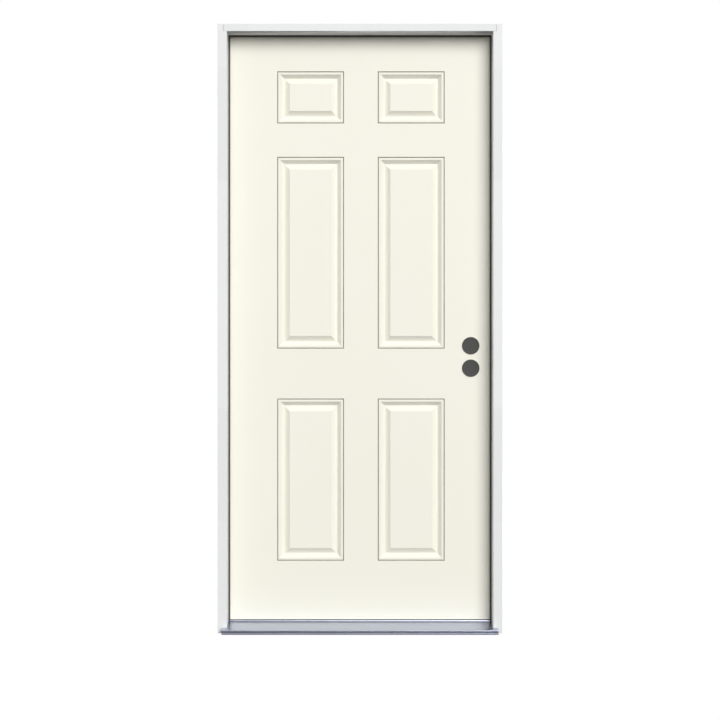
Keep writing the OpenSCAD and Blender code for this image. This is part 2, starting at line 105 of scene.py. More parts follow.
def smooth(piece):
    """Smooth shading over edges softer than 35 degrees, with the flat faces kept flat."""
    select_only(piece)
    bpy.ops.object.shade_smooth_by_angle(angle=math.radians(35))
    apply_modifier(piece, "WEIGHTED_NORMAL", keep_sharp=True, weight=100)


def place(piece, body, slot, finish, *nodes):
    """Gives a piece its material and the body it moves with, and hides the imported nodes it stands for."""
    piece.data.materials.clear()
    piece.data.materials.append(finish)
    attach(piece, body)
    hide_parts(*nodes)


def dressed(node, edge):
    """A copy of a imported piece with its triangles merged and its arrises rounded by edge, in mm. The
    arrises are the sharp edges over 4 mm long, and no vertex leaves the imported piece's box."""
    sharp_angle = 40
    shortest_arris = 4 * MM
    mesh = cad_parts[node].data.copy()
    piece = bpy.data.objects.new(node + "_finished", mesh)
    bpy.context.scene.collection.objects.link(piece)
    select_only(piece)
    bpy.ops.mesh.customdata_custom_splitnormals_clear()
    bpy.ops.object.mode_set(mode="EDIT")
    bpy.ops.mesh.select_all(action="SELECT")
    bpy.ops.mesh.remove_doubles(threshold=0.01 * MM)
    bpy.ops.mesh.dissolve_limited(angle_limit=math.radians(1))
    bpy.ops.mesh.select_mode(type="EDGE")
    bpy.ops.mesh.select_all(action="DESELECT")
    bpy.ops.mesh.edges_select_sharp(sharpness=math.radians(sharp_angle))
    bpy.ops.object.mode_set(mode="OBJECT")
    for arris in piece.data.edges:
        one, other = (piece.data.vertices[v].co for v in arris.vertices)
        arris.select = arris.select and (one - other).length > shortest_arris
    bpy.ops.object.mode_set(mode="EDIT")
    bpy.ops.mesh.bevel(offset=edge * MM, segments=2, affect="EDGES", clamp_overlap=True)
    bpy.ops.object.mode_set(mode="OBJECT")
    low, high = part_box(node)
    for corner in piece.data.vertices:
        corner.co = [min(max(c, least), most) for c, least, most in zip(corner.co, low, high)]
    smooth(piece)
    return piece


def primed_pine(name, turn):
    """Primed finger-jointed pine: opaque white primer, through which the grain and the glued
    zigzag joints of the short boards still show as the faintest relief and change of tone."""
    finish, shader = start_finish(name, "#e9eaea", roughness=0.5)
    board_length = 0.38
    finger = 7 * MM
    finger_depth = 10 * MM
    place_in = add_node(finish, "TexCoord", {}).outputs["Object"]
    grain_up = add_node(finish, "Mapping", {"Vector": place_in, "Rotation": turn}).outputs["Vector"]
    along = add_node(finish, "SeparateXYZ", {"Vector": grain_up}).outputs
    across = add_node(finish, "Math", {0: along["X"], 1: along["Y"]}, operation="ADD").outputs[0]
    zigzag = add_node(finish, "Math", {0: across, 1: finger}, operation="PINGPONG").outputs[0]
    shifted = add_node(finish, "Math", {0: zigzag, 1: finger_depth / finger, 2: along["Z"]},
                       operation="MULTIPLY_ADD").outputs[0]
    boards = add_node(finish, "Math", {0: shifted, 1: board_length}, operation="DIVIDE").outputs[0]
    board = add_node(finish, "Math", {0: boards}, operation="FLOOR").outputs[0]
    tone = add_node(finish, "TexWhiteNoise", {"W": board}, noise_dimensions="1D").outputs["Value"]
    colour = add_node(finish, "Mix", {0: tone, 6: srgb("#e6e7e7"), 7: srgb("#ebecec")}, data_type="RGBA")
    ring_spacing = 2.5 * MM
    fibres = add_node(finish, "Mapping", {
        "Vector": grain_up, "Scale": (1 / ring_spacing, 1 / ring_spacing, 0.03 / ring_spacing)}).outputs[0]
    grain = add_node(finish, "TexNoise", {"Vector": fibres, "Scale": 1, "Detail": 3}).outputs[0]
    relief = add_node(finish, "Bump", {"Height": grain, "Distance": 0.03 * MM, "Strength": 1}).outputs[0]
    feed(finish, shader, Base_Color=colour.outputs[2], Normal=relief)
    return finish


primed_legs = primed_pine("primed finger-jointed pine, upright grain", (0, 0, 0))
primed_head = primed_pine("primed finger-jointed pine, level grain", (0, math.radians(90), 0))


def cut(piece, cutter):
    """Takes the cutter's shape out of the piece, and the cutter out of the scene."""
    apply_modifier(piece, "BOOLEAN", object=cutter, operation="DIFFERENCE", solver="EXACT")
    bpy.data.objects.remove(cutter)


def ease(piece, start, end, across, deep):
    """Takes the upright arris from start to end off the piece, across along X and deep along Y, with a
    diamond-shaped bar."""
    start, end = Vector(start), Vector(end)
    bpy.ops.object.select_all(action="DESELECT")
    bpy.ops.mesh.primitive_cube_add(size=1)
    bar = bpy.context.object
    bar.data.transform(Matrix.Diagonal((2 ** 0.5, 2 ** 0.5, (end - start).length, 1)))
    bar.data.transform(Matrix.Rotation(math.pi / 4, 4, "Z"))
    bar.data.transform(Matrix.Diagonal((across, deep, 1, 1)))
    bar.data.transform(Matrix.Translation((start + end) / 2))
    cut(piece, bar)


head_low, head_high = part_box("head_jamb")
leg_low, leg_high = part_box("hinge_jamb")[0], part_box("strike_jamb")[1]
past = 2 * MM
joint_gap, joint_depth = 0.5 * MM, 5 * MM
outer_arris = 0.8 * MM
for node, finish in (("hinge_jamb", primed_legs), ("strike_jamb", primed_legs), ("head_jamb", primed_head)):
    jamb = dressed(node, 0.15)
    low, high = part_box(node)
    # The head's joints: the boards' ends aren't quite square, so each joint stands open in front
    for x in (head_low.x, head_high.x):
        if low.x - past < x < high.x + past:
            ease(jamb, (x, low.y, head_low.z), (x, low.y, head_high.z + past), joint_gap, joint_depth)
    # The legs' outer arrises, in front and behind
    for x in (leg_low.x, leg_high.x):
        if low.x - past < x < high.x + past:
            for y in (low.y, high.y):
                ease(jamb, (x, y, low.z - past), (x, y, high.z + past), outer_arris, outer_arris)
    smooth(jamb)
    place(jamb, "frame", "primed_wood", finish, node)

# ------------------------------------------------------------------ sill and threshold cap
# The sill's body and the cap under the shut leaf are extruded from wood-filled plastic. An aluminium
# extrusion faces the deck and turns down over the nose. It is left as it came from the die.


def wood_filled_plastic():
    """Extruded wood-filled polyethylene: matte brown, with short pale wood fibres drawn out along X."""
    finish, shader = start_finish("extruded wood-filled polyethylene", "#8a7358", roughness=0.7)
    fibre = 0.9 * MM
    place_in = add_node(finish, "TexCoord", {}).outputs["Object"]
    drawn = add_node(finish, "Mapping", {
        "Vector": place_in, "Scale": (0.12 / fibre, 1 / fibre, 1 / fibre)}).outputs["Vector"]
    fibres = add_node(finish, "TexNoise", {"Vector": drawn, "Scale": 1, "Detail": 4}).outputs[0]
    colour = add_node(finish, "Mix", {0: fibres, 6: srgb("#6f5a43"), 7: srgb("#a48c6d")}, data_type="RGBA")
    relief = add_node(finish, "Bump", {"Height": fibres, "Distance": 0.05 * MM, "Strength": 1}).outputs[0]
    feed(finish, shader, Base_Color=colour.outputs[2], Normal=relief)
    return finish


def mill_aluminium():
    """Mill-finish extruded aluminium: a bluish grey metal, whose die lines run the extrusion's whole
    length. They are 0.2 mm apart on the real one and are drawn four times as coarse, so they show."""
    finish, shader = start_finish("mill-finish extruded aluminium", "#b9bfd1", roughness=0.3, metallic=1.0)
    line = 0.8 * MM
    place_in = add_node(finish, "TexCoord", {}).outputs["Object"]
    drawn = add_node(finish, "Mapping", {
        "Vector": place_in, "Scale": (0.004 / line, 1 / line, 1 / line)}).outputs["Vector"]
    lines = add_node(finish, "TexNoise", {"Vector": drawn, "Scale": 1, "Detail": 2}).outputs[0]
    colour = add_node(finish, "Mix", {0: lines, 6: srgb("#b4bacd"), 7: srgb("#bec4d5")}, data_type="RGBA")
    gloss = add_node(finish, "MapRange", {"Value": lines, "To Min": 0.26, "To Max": 0.34}).outputs[0]
    relief = add_node(finish, "Bump", {"Height": lines, "Distance": 0.006 * MM, "Strength": 1}).outputs[0]
    feed(finish, shader, Base_Color=colour.outputs[2], Roughness=gloss, Normal=relief)
    return finish


composite = wood_filled_plastic()
place(dressed("sill_substrate", 0.3), "frame", "sill_composite", composite, "sill_substrate")
place(dressed("threshold_cap", 0.3), "frame", "sill_composite", composite, "threshold_cap")
cover = dressed("sill_cover", 0.25)
# The front face of the upright lip at the cover's back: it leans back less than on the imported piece, so it
# catches the light
lip_top = max(corner.co.z for corner in cover.data.vertices)
lip_foot = lip_top - 2 * MM
lip_front = min(corner.co.y for corner in cover.data.vertices if corner.co.z > lip_top - 0.4 * MM)
brought_forward = 0.55 * MM
for corner in cover.data.vertices:
    if corner.co.z > lip_foot and lip_front - 2 * MM < corner.co.y < lip_front + 0.35 * MM:
        corner.co.y -= brought_forward * (corner.co.z - lip_foot) / (lip_top - lip_foot)
place(cover, "frame", "mill_aluminium", mill_aluminium(), "sill_cover")

# ------------------------------------------------------------------ screws of the frame
# Zinc-plated countersunk wood screws with cross recesses. Two go through each leg into the sill's
# end and two into the head's end, with their heads flush in the outer faces.

head_r, head_h, rim_h = 4.5 * MM, 2.4 * MM, 0.3 * MM
shank_r = 2.4 * MM
point_r, point_h = 0.2 * MM, 5 * MM
recess_span, recess_w, recess_depth = 5 * MM, 1.1 * MM, 2.2 * MM


def zinc_steel():
    """Zinc-plated steel: bright and faintly blue, with the slight mottling of barrel plating."""
    finish, shader = start_finish("zinc-plated screw steel", "#c3c5c6", roughness=0.3, metallic=1.0)
    place_in = add_node(finish, "TexCoord", {}).outputs["Object"]
    mottle = add_node(finish, "TexNoise", {"Vector": place_in, "Scale": 1 / (0.8 * MM)}).outputs[0]
    gloss = add_node(finish, "MapRange", {"Value": mottle, "To Min": 0.22, "To Max": 0.42}).outputs[0]
    feed(finish, shader, Roughness=gloss)
    return finish


def select_faces(piece, chosen):
    """Goes to edit mode with only the faces selected for which chosen(face) is true."""
    select_only(piece)
    bpy.ops.object.mode_set(mode="EDIT")
    bpy.ops.mesh.select_mode(type="FACE")
    bpy.ops.mesh.select_all(action="DESELECT")
    bpy.ops.object.mode_set(mode="OBJECT")
    for face in piece.data.polygons:
        face.select = chosen(face)
    bpy.ops.object.mode_set(mode="EDIT")


def wood_screw(length):
    """A screw along +Z with its head's face at the origin: head, countersink, shank and point."""
    bpy.ops.object.select_all(action="DESELECT")
    bpy.ops.mesh.primitive_cylinder_add(vertices=24, radius=head_r, depth=rim_h, location=(0, 0, rim_h / 2))
    screw = bpy.context.object
    bpy.ops.object.transform_apply(location=True, rotation=True, scale=True)
    select_faces(screw, lambda face: face.normal.z > 0.9)
    for rise, radius in ((head_h - rim_h, shank_r), (length - point_h - head_h, shank_r),
                         (point_h - point_r, point_r)):
        bpy.ops.mesh.extrude_region_move(TRANSFORM_OT_translate={"value": (0, 0, rise)})
        bpy.ops.object.mode_set(mode="OBJECT")
        tip = [v for v in screw.data.vertices if v.select]
        share = radius / max(v.co.xy.length for v in tip)
        bpy.ops.object.mode_set(mode="EDIT")
        bpy.ops.transform.resize(value=(share, share, 1))
    bpy.ops.object.mode_set(mode="OBJECT")
    clear = 0.4 * MM
    for turn in (0, 90):
        bpy.ops.object.select_all(action="DESELECT")
        bpy.ops.mesh.primitive_cube_add(
            size=1, location=(0, 0, (recess_depth - clear) / 2), rotation=(0, 0, math.radians(turn)),
            scale=(recess_span, recess_w, recess_depth + clear))
        wing = bpy.context.object
        bpy.ops.object.transform_apply(location=True, rotation=True, scale=True)
        select_faces(wing, lambda face: face.normal.z > 0.9)
        bpy.ops.transform.resize(value=(0.5, 0.5, 1))
        bpy.ops.object.mode_set(mode="OBJECT")
        cut(screw, wing)
    return screw


def driven(screw, name, spots, direction):
    """Copies of a screw, each driven in that direction from its spot."""
    turn = Vector((0, 0, 1)).rotation_difference(Vector(direction)).to_matrix().to_4x4()
    copies = []
    for spot in spots:
        copy = bpy.data.objects.new(name, screw.data.copy())
        bpy.context.scene.collection.objects.link(copy)
        copy.data.transform(Matrix.Translation(Vector(spot)) @ turn)
        copies.append(copy)
    return copies


def joined(name, pieces):
    """Makes one piece of several, under a new name."""
    bpy.ops.object.select_all(action="DESELECT")
    for piece in pieces:
        piece.select_set(True)
    bpy.context.view_layer.objects.active = pieces[0]
    bpy.ops.object.join()
    pieces[0].name = name
    smooth(pieces[0])
    return pieces[0]


zinc = zinc_steel()
long_screw = wood_screw(60 * MM)
for node in ("sill_screws", "head_joint_screws"):
    low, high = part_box(node)
    level = (low.z + high.z) / 2
    depths = (low.y + head_r, high.y - head_r)
    group = []
    for x, direction in ((low.x, (1, 0, 0)), (high.x, (-1, 0, 0))):
        group += driven(long_screw, node, [(x, y, level) for y in depths], direction)
    place(joined(node + "_driven", group), "frame", "screw_steel", zinc, node)
bpy.data.objects.remove(long_screw)

# ------------------------------------------------------------------ weatherstrips and corner pads
# Bulbs of soft foam in a thin film of dark polyethylene, pushed by their stems into the slots of the
# stops. A small pad of pressed felt closes each bottom corner of the rabbets.


def film_over_foam():
    """Polyethylene film over foam: dark brown and dull, with the fine crosswise puckers that the
    film takes as the foam is pressed."""
    finish, shader = start_finish("polyethylene film over foam", "#4a433c", roughness=0.6)
    pucker = 3 * MM
    place_in = add_node(finish, "TexCoord", {}).outputs["Object"]
    puckers = add_node(finish, "TexNoise", {"Vector": place_in, "Scale": 1 / pucker, "Detail": 2}).outputs[0]
    relief = add_node(finish, "Bump", {"Height": puckers, "Distance": 0.25 * MM, "Strength": 1}).outputs[0]
    gloss = add_node(finish, "MapRange", {"Value": puckers, "To Min": 0.45, "To Max": 0.75}).outputs[0]
    feed(finish, shader, Roughness=gloss, Normal=relief)
    return finish


def pressed_felt():
    """Pressed wool felt: near black and without gloss, its surface a mat of short hairs."""
    finish, shader = start_finish("pressed wool felt", "#39342f", roughness=0.95)
    place_in = add_node(finish, "TexCoord", {}).outputs["Object"]
    mat = add_node(finish, "TexNoise", {"Vector": place_in, "Scale": 1 / (0.7 * MM), "Detail": 6}).outputs[0]
    relief = add_node(finish, "Bump", {"Height": mat, "Distance": 0.3 * MM, "Strength": 1}).outputs[0]
    feed(finish, shader, Normal=relief)
    shader.inputs["Sheen Weight"].default_value = 0.2
    return finish


film = film_over_foam()
for node in ("hinge_side_weatherstrip", "strike_side_weatherstrip", "head_weatherstrip"):
    place(dressed(node, 0.8), "frame", "foam_seal", film, node)
felt = pressed_felt()
for node in ("hinge_corner_pad", "strike_corner_pad"):
    place(dressed(node, 0.3), "frame", "felt_pad", felt, node)

# ------------------------------------------------------------------ wood and foam inside the leaf
# Plain bars of planed pine along the leaf's four edges, a block behind the lock, and rigid foam
# foamed in place between the skins. Only the bars' outer faces show, along the leaf's edges.


def planed_pine(name, turn):
    """Planed bare pine: pale yellow early wood between darker late-wood lines, slightly silky."""
    finish, shader = start_finish(name, "#d9bd8c", roughness=0.55)
    ring = 5 * MM
    place_in = add_node(finish, "TexCoord", {}).outputs["Object"]
    grain_up = add_node(finish, "Mapping", {"Vector": place_in, "Rotation": turn}).outputs["Vector"]
    drawn = add_node(finish, "Mapping", {
        "Vector": grain_up, "Scale": (1 / ring, 1 / ring, 0.02 / ring)}).outputs["Vector"]
    rings = add_node(finish, "TexNoise", {
        "Vector": drawn, "Scale": 1, "Detail": 5, "Distortion": 0.4}).outputs[0]
    late = add_node(finish, "MapRange", {"Value": rings, "From Min": 0.42, "From Max": 0.62}).outputs[0]
    colour = add_node(finish, "Mix", {0: late, 6: srgb("#e0c697"), 7: srgb("#c49b62")}, data_type="RGBA")
    relief = add_node(finish, "Bump", {"Height": rings, "Distance": 0.04 * MM, "Strength": 1}).outputs[0]
    feed(finish, shader, Base_Color=colour.outputs[2], Normal=relief)
    return finish


def rigid_foam():
    """Rigid polyurethane foam: pale amber, with open cut cells about a millimetre across."""
    finish, shader = start_finish("rigid polyurethane foam", "#eedc9a", roughness=0.9)
    place_in = add_node(finish, "TexCoord", {}).outputs["Object"]
    cells = add_node(finish, "TexVoronoi", {"Vector": place_in, "Scale": 1 / (1.2 * MM)}).outputs["Distance"]
    relief = add_node(finish, "Bump", {"Height": cells, "Distance": 0.3 * MM, "Strength": 1}).outputs[0]
    feed(finish, shader, Normal=relief)
    return finish


upright_pine = planed_pine("planed pine, upright grain", (0, 0, 0))
level_pine = planed_pine("planed pine, level grain", (0, math.radians(90), 0))
for node, finish in (("hinge_stile", upright_pine), ("lock_stile", upright_pine),
                     ("lock_block", upright_pine), ("top_rail", level_pine), ("bottom_rail", level_pine)):
    place(dressed(node, 0.3), "door_leaf", "bare_pine", finish, node)
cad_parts["foam_core"].material_slots[0].material = rigid_foam()

# ------------------------------------------------------------------ the leaf's two skins
# Sheets of 0.7 mm galvanised steel. Six panels are pressed into each in one stroke, the long edges
# are folded over the stiles, and the sheet is coated in cream baked enamel.

skin_t = 0.7 * MM
flange = 9.5 * MM
fold_r = 1.1 * MM
lock_bore_r = 27 * MM
plug_seat = 0.5 * MM

# The pressing's section, as distances from the panel's edge and depths below the face, in mm
quirk_w, quirk_d = 3.4, 3.2
bead_w, bead_d, bead_crown = 7.3, 0.4, 0.3
slope_w, slope_power, valley_d, valley_w = 12, 1.05, 11.6, 1.5
bevel_w, bevel_power, field_d = 18.6, 1.5, 1.0
bead_steps, slope_steps, bevel_steps = 4, 8, 12
bead_u = quirk_w
slope_u = bead_u + bead_w
bevel_u = slope_u + slope_w + valley_w
section = [(0, 0), (quirk_w / 2, quirk_d)]
for i in range(bead_steps + 1):
    share = i / bead_steps
    section.append((bead_u + share * bead_w, bead_d - bead_crown * math.sin(math.pi * share)))
for i in range(1, slope_steps + 1):
    share = i / slope_steps
    section.append((slope_u + share * slope_w, valley_d - (valley_d - bead_d) * (1 - share) ** slope_power))
for i in range(bevel_steps + 1):
    share = i / bevel_steps
    section.append((bevel_u + share * bevel_w, valley_d - (valley_d - field_d) * share ** bevel_power))

# The panels' edges across and up the leaf, from its own edges
leaf_low, leaf_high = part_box("exterior_skin")
stile_face = 169.9 * MM
mullion_face = 114.6 * MM
panel_shift = 3 * MM
panel_w = (leaf_high.x - leaf_low.x - 2 * stile_face - mullion_face) / 2
column_edges = [leaf_low.x + stile_face + panel_shift]
column_edges += [column_edges[0] + panel_w, column_edges[0] + panel_w + mullion_face]
column_edges += [column_edges[2] + panel_w]
bottom_rail_face, lock_rail_low, lock_rail_high = 198.5 * MM, 784 * MM, 953.4 * MM
frieze_rail_face, top_panel_h, top_rail_face = 113.3 * MM, 176.9 * MM, 128.9 * MM
top_row_low = leaf_high.z - top_rail_face - top_panel_h
row_edges = [leaf_low.z + bottom_rail_face, lock_rail_low, lock_rail_high, top_row_low - frieze_rail_face,
             top_row_low, top_row_low + top_panel_h]


def in_a_panel(face):
    """Whether a face of the flat sheet lies inside one of the six panels."""
    columns = [column_edges[i] < face.center.x < column_edges[i + 1] for i in (0, 2)]
    rows = [row_edges[i] < face.center.z < row_edges[i + 1] for i in (0, 2, 4)]
    return any(columns) and any(rows)


def in_a_quirk(spot):
    """Whether a spot lies over one of the fine quirks round the panels."""
    for left, right in (column_edges[0:2], column_edges[2:4]):
        for low, high in (row_edges[0:2], row_edges[2:4], row_edges[4:6]):
            inside = min(spot.x - left, right - spot.x, spot.z - low, high - spot.z) / MM
            if 0.1 < inside < quirk_w - 0.1:
                return True
    return False


def select_edges(piece, chosen):
    """Goes to edit mode with only the edges selected for which chosen(one end, other end) is true."""
    select_only(piece)
    bpy.ops.object.mode_set(mode="EDIT")
    bpy.ops.mesh.select_mode(type="EDGE")
    bpy.ops.mesh.select_all(action="DESELECT")
    bpy.ops.object.mode_set(mode="OBJECT")
    for edge in piece.data.edges:
        edge.select = chosen(*(piece.data.vertices[v].co for v in edge.vertices))
    bpy.ops.object.mode_set(mode="EDIT")


def pressed_skin(name, face_y, inward):
    """One skin. face_y is its outer face, and inward is 1 or -1, the way to the leaf's middle along Y."""
    width, height = leaf_high.x - leaf_low.x, leaf_high.z - leaf_low.z
    bpy.ops.object.select_all(action="DESELECT")
    bpy.ops.mesh.primitive_plane_add(size=1, rotation=(inward * math.pi / 2, 0, 0),
                                     location=(0, face_y, leaf_low.z + height / 2))
    skin = bpy.context.object
    skin.name = name
    skin.scale = (width, height, 1)
    bpy.ops.object.transform_apply(location=True, rotation=True, scale=True)
    bpy.ops.object.mode_set(mode="EDIT")
    for axis, edges in (((1, 0, 0), column_edges), ((0, 0, 1), row_edges)):
        for edge in edges:
            bpy.ops.mesh.select_all(action="SELECT")
            bpy.ops.mesh.bisect(plane_co=[edge * a for a in axis], plane_no=axis)
    bpy.ops.object.mode_set(mode="OBJECT")
    select_faces(skin, in_a_panel)
    for (u0, d0), (u1, d1) in zip(section, section[1:]):
        bpy.ops.mesh.inset(thickness=(u1 - u0) * MM, depth=(d0 - d1) * MM, use_individual=True)
    bpy.ops.object.mode_set(mode="OBJECT")

    def at_a_fold(*ends):
        """Whether an edge lies along one of the sheet's long edges, in the plane of its face."""
        return all(abs(abs(p.x) - width / 2) < 0.1 * MM and abs(p.y - face_y) < 0.1 * MM for p in ends)

    select_edges(skin, at_a_fold)
    bpy.ops.mesh.extrude_region_move(TRANSFORM_OT_translate={"value": (0, inward * flange, 0)})
    bpy.ops.object.mode_set(mode="OBJECT")
    select_edges(skin, at_a_fold)
    bpy.ops.mesh.bevel(offset=fold_r, segments=4, affect="EDGES")
    bpy.ops.object.mode_set(mode="OBJECT")
    apply_modifier(skin, "BEVEL", width=0.3 * MM, segments=2, limit_method="ANGLE",
                   angle_limit=math.radians(24), use_clamp_overlap=True)
    apply_modifier(skin, "SOLIDIFY", thickness=skin_t, offset=-1, use_even_offset=True,
                   use_quality_normals=True)
    return skin


def bore_skin(skin, radius, face_y):
    """Drills the two lock bores, in line with their plugs."""
    for node in ("upper_bore_plug", "lower_bore_plug"):
        low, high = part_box(node)
        middle = (low + high) / 2
        bpy.ops.object.select_all(action="DESELECT")
        bpy.ops.mesh.primitive_cylinder_add(
            vertices=96, radius=radius, depth=10 * MM, rotation=(math.pi / 2, 0, 0),
            location=(middle.x, face_y, middle.z))
        drill = bpy.context.object
        bpy.ops.object.transform_apply(location=True, rotation=True, scale=True)
        cut(skin, drill)


def baked_enamel(name, low_tone, high_tone):
    """Cream baked enamel on smooth steel sheet: an even low sheen over the very fine orange peel of
    sprayed paint. The peel's waves are 2 mm long and a few thousandths of a millimetre high, and the
    tone drifts faintly from one third of a metre to the next."""
    finish, shader = start_finish(name, low_tone, roughness=0.5)
    place_in = add_node(finish, "TexCoord", {}).outputs["Object"]
    peel = add_node(finish, "TexNoise", {"Vector": place_in, "Scale": 1 / (2 * MM), "Detail": 1}).outputs[0]
    cloud = add_node(finish, "TexNoise", {"Vector": place_in, "Scale": 3, "Detail": 2}).outputs[0]
    colour = add_node(finish, "Mix", {0: cloud, 6: srgb(low_tone), 7: srgb(high_tone)}, data_type="RGBA")
    relief = add_node(finish, "Bump", {"Height": peel, "Distance": 0.008 * MM, "Strength": 1}).outputs[0]
    feed(finish, shader, Base_Color=colour.outputs[2], Normal=relief)
    return finish


def coat(skin):
    """Gives the skin its enamel, and the quirks a greyer enamel that paints in the shade at their narrow
    roots.
    """
    place(skin, "door_leaf", "painted_steel", enamel, skin.name.replace("_pressed", ""))
    skin.data.materials.append(quirk_shade_enamel)
    for face in skin.data.polygons:
        # Faces over the quirks get the greyer enamel, which paints in their shade
        face.material_index = int(in_a_quirk(face.center))


enamel = baked_enamel("cream baked enamel on steel sheet", "#f3f1e3", "#f5f3e7")
# The fine quirks take a greyer enamel: painted shade, standing in for the shadow at the root of each narrow
# groove
quirk_shade_enamel = baked_enamel("thin enamel over grey primer", "#a09d8f", "#a9a697")
exterior = pressed_skin("exterior_skin_pressed", leaf_low.y, 1)
bore_skin(exterior, lock_bore_r + plug_seat, leaf_low.y)
smooth(exterior)
coat(exterior)
room_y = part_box("interior_skin")[1].y
interior = pressed_skin("interior_skin_pressed", room_y, -1)
bore_skin(interior, lock_bore_r, room_y)
# Mortises for the hinges' plates, cut through the fold and a little taller than the plates
mortise_t, mortise_depth, clear = 2.4 * MM, 20 * MM, 0.2 * MM
for node in ("door_hinge_leaf_bottom", "door_hinge_leaf_middle", "door_hinge_leaf_top"):
    low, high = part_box(node)
    bpy.ops.object.select_all(action="DESELECT")
    bpy.ops.mesh.primitive_cube_add(
        size=1, location=(leaf_low.x, room_y, (low.z + high.z) / 2),
        scale=(2 * mortise_t, 2 * mortise_depth, high.z - low.z + 2 * clear))
    mortise = bpy.context.object
    bpy.ops.object.transform_apply(location=True, rotation=True, scale=True)
    cut(interior, mortise)
smooth(interior)
coat(interior)

# ------------------------------------------------------------------ sweep under the leaf
# A flexible vinyl extrusion, drawn through its die in one length and stapled under the bottom rail. Its
# three fins brush the threshold cap.


def flexible_vinyl():
    """Extruded flexible PVC: dark and softly shining, with faint lines from the die along its length."""
    finish, shader = start_finish("extruded flexible vinyl", "#383430", roughness=0.42)
    line_w, line_length = 0.833 * MM, 50 * MM
    place_in = add_node(finish, "TexCoord", {}).outputs["Object"]
    drawn = add_node(finish, "Mapping", {
        "Vector": place_in, "Scale": (1 / line_length, 1 / line_w, 1 / line_w)}).outputs["Vector"]
    lines = add_node(finish, "TexNoise", {"Vector": drawn, "Scale": 1}).outputs[0]
    relief = add_node(finish, "Bump", {"Height": lines, "Distance": 0.02 * MM, "Strength": 1}).outputs[0]
    feed(finish, shader, Normal=relief)
    return finish


place(dressed("bottom_sweep", 0.3), "door_leaf", "vinyl_sweep", flexible_vinyl(), "bottom_sweep")

# ------------------------------------------------------------------ plugs of the lock bores
# Moulded caps that close the two lock bores until a lock is fitted. A flange lies on the outer skin,
# and a sleeve behind it is pushed into the bore.

flange_r = 29.5 * MM
flange_t = 2.2 * MM
sleeve_r = 27.4 * MM
sleeve_wall = 1.6 * MM
sleeve_depth = 9 * MM


def moulded_plastic():
    """Injection-moulded polypropylene: dark grey, with the fine spark-eroded texture of its mould."""
    finish, shader = start_finish("moulded polypropylene, eroded texture", "#3c3c3a", roughness=0.55)
    place_in = add_node(finish, "TexCoord", {}).outputs["Object"]
    grit = add_node(finish, "TexNoise", {"Vector": place_in, "Scale": 1 / (0.5 * MM), "Detail": 3}).outputs[0]
    relief = add_node(finish, "Bump", {"Height": grit, "Distance": 0.02 * MM, "Strength": 1}).outputs[0]
    feed(finish, shader, Normal=relief)
    return finish


def bore_plug(node):
    """One plug: a disc, drawn out into a sleeve behind and dished in front."""
    low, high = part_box(node)
    centre = (low + high) / 2
    bpy.ops.object.select_all(action="DESELECT")
    bpy.ops.mesh.primitive_cylinder_add(
        vertices=96, radius=flange_r, depth=flange_t, rotation=(math.pi / 2, 0, 0),
        location=(centre.x, low.y + flange_t / 2, centre.z))
    plug = bpy.context.object
    plug.name = node + "_moulded"
    bpy.ops.object.transform_apply(location=True, rotation=True, scale=True)
    # The back: a ring of faces drawn out into the sleeve
    select_faces(plug, lambda face: face.normal.y > 0.9)
    bpy.ops.mesh.inset(thickness=flange_r - sleeve_r, depth=0)
    bpy.ops.mesh.inset(thickness=sleeve_wall, depth=0)
    bpy.ops.object.mode_set(mode="OBJECT")

    def on_the_ring(face):
        radius = math.hypot(face.center.x - centre.x, face.center.z - centre.z)
        return face.normal.y > 0.9 and sleeve_r - sleeve_wall < radius < sleeve_r

    select_faces(plug, on_the_ring)
    bpy.ops.mesh.extrude_region_move(TRANSFORM_OT_translate={"value": (0, sleeve_depth, 0)})
    bpy.ops.object.mode_set(mode="OBJECT")
    # The front: a shallow dish inside a rolled rim
    select_faces(plug, lambda face: face.normal.y < -0.9)
    for across, rise in ((2.4, 0), (0.6, -0.35), (14, -0.25)):
        bpy.ops.mesh.inset(thickness=across * MM, depth=rise * MM)
    bpy.ops.object.mode_set(mode="OBJECT")
    apply_modifier(plug, "BEVEL", width=0.6 * MM, segments=3, limit_method="ANGLE",
                   angle_limit=math.radians(50), use_clamp_overlap=True)
    smooth(plug)
    return plug


plug_plastic = moulded_plastic()
for node in ("upper_bore_plug", "lower_bore_plug"):
    place(bore_plug(node), "door_leaf", "plug_plastic", plug_plastic, node)

# ------------------------------------------------------------------ hinges
# Three butt hinges of rolled steel plate, let into the jamb and the stile. Each has five knuckles on
# a pin with a button head, and four screws in each plate.


def plated_steel():
    """Satin nickel plating on steel: brushed up the plates' length, so highlights run across them. The
    real lines are about 0.1 mm apart and are drawn four times as coarse, so they show."""
    finish, shader = start_finish("satin nickel plated steel", "#bcb8b0", roughness=0.34, metallic=1.0)
    line = 0.4 * MM
    place_in = add_node(finish, "TexCoord", {}).outputs["Object"]
    drawn = add_node(finish, "Mapping", {
        "Vector": place_in, "Scale": (1 / line, 1 / line, 0.024 / line)}).outputs["Vector"]
    brush = add_node(finish, "TexNoise", {"Vector": drawn, "Scale": 1, "Detail": 2}).outputs[0]
    gloss = add_node(finish, "MapRange", {"Value": brush, "To Min": 0.26, "To Max": 0.44}).outputs[0]
    relief = add_node(finish, "Bump", {"Height": brush, "Distance": 0.004 * MM, "Strength": 1}).outputs[0]
    feed(finish, shader, Roughness=gloss, Normal=relief)
    return finish


plating = plated_steel()
for level in ("bottom", "middle", "top"):
    for part, body in (("frame_hinge_leaf_", "frame"), ("door_hinge_leaf_", "door_leaf"),
                       ("hinge_pin_", "frame")):
        place(dressed(part + level, 0.3), body, "hinge_steel", plating, part + level)

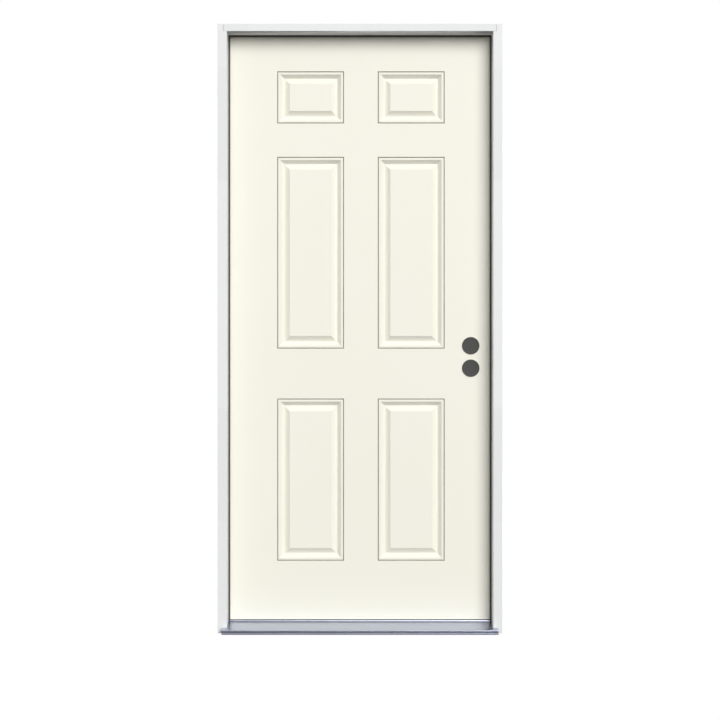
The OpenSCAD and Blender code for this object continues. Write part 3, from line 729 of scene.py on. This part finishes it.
# The screws: four in a plate, at these distances up it and in from its far edge
plate_far_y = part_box("door_hinge_leaf_top")[0].y
screws_a_plate = 4
screw_pitch = 24 * MM
end_screws_in, middle_screws_in = 16 * MM, 9 * MM
for node, plate, body, x_end, direction in (
        ("frame_hinge_screws", "frame_hinge_leaf_", "frame", 1, (-1, 0, 0)),
        ("door_hinge_screws", "door_hinge_leaf_", "door_leaf", 0, (1, 0, 0))):
    low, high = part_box(node)
    screw = wood_screw(high.x - low.x)
    spots = []
    for level in ("bottom", "middle", "top"):
        foot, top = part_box(plate + level)
        for i in range(screws_a_plate):
            y = plate_far_y + (end_screws_in if i in (0, screws_a_plate - 1) else middle_screws_in)
            rise = (i - (screws_a_plate - 1) / 2) * screw_pitch
            spots.append(((low.x, high.x)[x_end], y, (foot.z + top.z) / 2 + rise))
    place(joined(node + "_driven", driven(screw, node, spots, direction)), body, "screw_steel", zinc, node)
    bpy.data.objects.remove(screw)

# ------------------------------------------------------------------ studio
# A white surround that lights the door at about half the strength at which it shows, a pale floor, and
# two broad soft lights of one strength: a key light from the upper right in front, and one behind for the
# room side. The camera stands level, 5 m in front of the jambs.

world = bpy.data.worlds.new("white surround")
bpy.context.scene.world = world
world.use_nodes = True
surround = world.node_tree.nodes["Background"]
surround.inputs["Color"].default_value = (1, 1, 1, 1)
in_view = add_node(world, "LightPath", {}).outputs["Is Camera Ray"]
brightness = add_node(world, "MapRange", {"Value": in_view, "To Min": 0.48, "To Max": 1.0}).outputs[0]
world.node_tree.links.new(brightness, surround.inputs["Strength"])

bpy.ops.object.select_all(action="DESELECT")
bpy.ops.mesh.primitive_plane_add(size=16, location=(0, 0, 0))
floor = bpy.context.object
floor.name = "studio_floor"
floor_paint, floor_shader = start_finish("pale floor paint", "#5c5c5c", roughness=0.9)
in_view = add_node(floor_paint, "LightPath", {}).outputs["Is Camera Ray"]
glow = add_node(floor_paint, "Emission", {"Color": (1, 1, 1, 1), "Strength": 1.03}).outputs[0]
pale = add_node(floor_paint, "BsdfDiffuse", {"Color": srgb("#f4f4f4")}).outputs[0]
lit = add_node(floor_paint, "MixShader", {0: 0.1, 1: glow, 2: pale}).outputs[0]
mixed = add_node(floor_paint, "MixShader", {0: in_view, 1: floor_shader.outputs[0], 2: lit}).outputs[0]
floor_paint.node_tree.links.new(mixed, floor_paint.node_tree.nodes["Material Output"].inputs["Surface"])
floor.data.materials.append(floor_paint)


def sun(name, towards, strength, spread):
    """A sun lamp whose light comes from that direction, with a spread in degrees."""
    lamp = bpy.data.lights.new(name, "SUN")
    lamp.energy = strength
    lamp.angle = math.radians(spread)
    lamp_object = bpy.data.objects.new(name, lamp)
    lamp_object.rotation_euler = Vector(towards).to_track_quat("Z", "Y").to_euler()
    bpy.context.scene.collection.objects.link(lamp_object)


sun("key_light", (0.38, -1, 0.49), 2.35, 37)
sun("room_side_light", (-0.5, 1, 0.6), 2.35, 40)

camera = bpy.data.objects.new("camera", bpy.data.cameras.new("camera"))
bpy.context.scene.collection.objects.link(camera)
camera.location = (0, -5.058, 0.915)
camera.rotation_euler = (math.pi / 2, 0, 0)
camera.data.lens = 74.7
camera.data.sensor_width = 36
bpy.context.scene.camera = camera
bpy.context.scene.view_settings.view_transform = "Standard"

bpy.context.view_layer.update()
